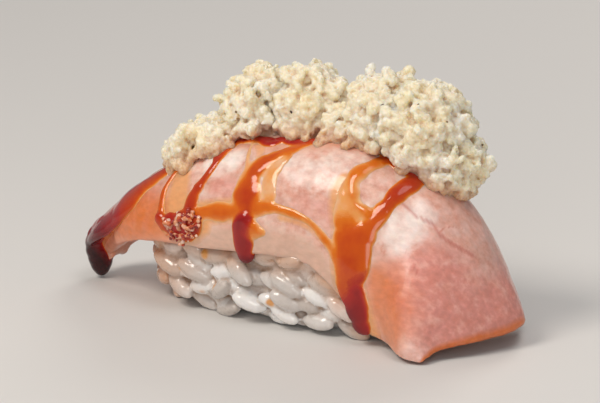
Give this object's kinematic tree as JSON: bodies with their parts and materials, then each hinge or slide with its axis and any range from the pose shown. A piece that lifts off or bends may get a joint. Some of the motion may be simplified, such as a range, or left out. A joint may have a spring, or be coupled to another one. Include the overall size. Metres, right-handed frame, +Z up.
{
  "type": "tuna nigiri",
  "caption": "Pressed sushi rice under a long draped slice of lightly seared tuna, drizzled with chilli glaze and heaped with tempura crumbs.",
  "frame": {"origin": "middle of the whole piece's footprint, on the surface that it rests on", "axes": "+X along the piece from the slice's narrow tail to its broad end, +Y across it to the back, +Z up"},
  "size_m": [0.0816, 0.0322, 0.0433],
  "materials": {
    "rice": "moist",
    "tuna": "wet",
    "crumbs": "dry and crisp"
  },
  "bodies": {
    "root": {"rice_bed": "rice", "tuna_slice": "tuna", "tempura_crumbs": "crumbs"}
  },
  "joints": []
}
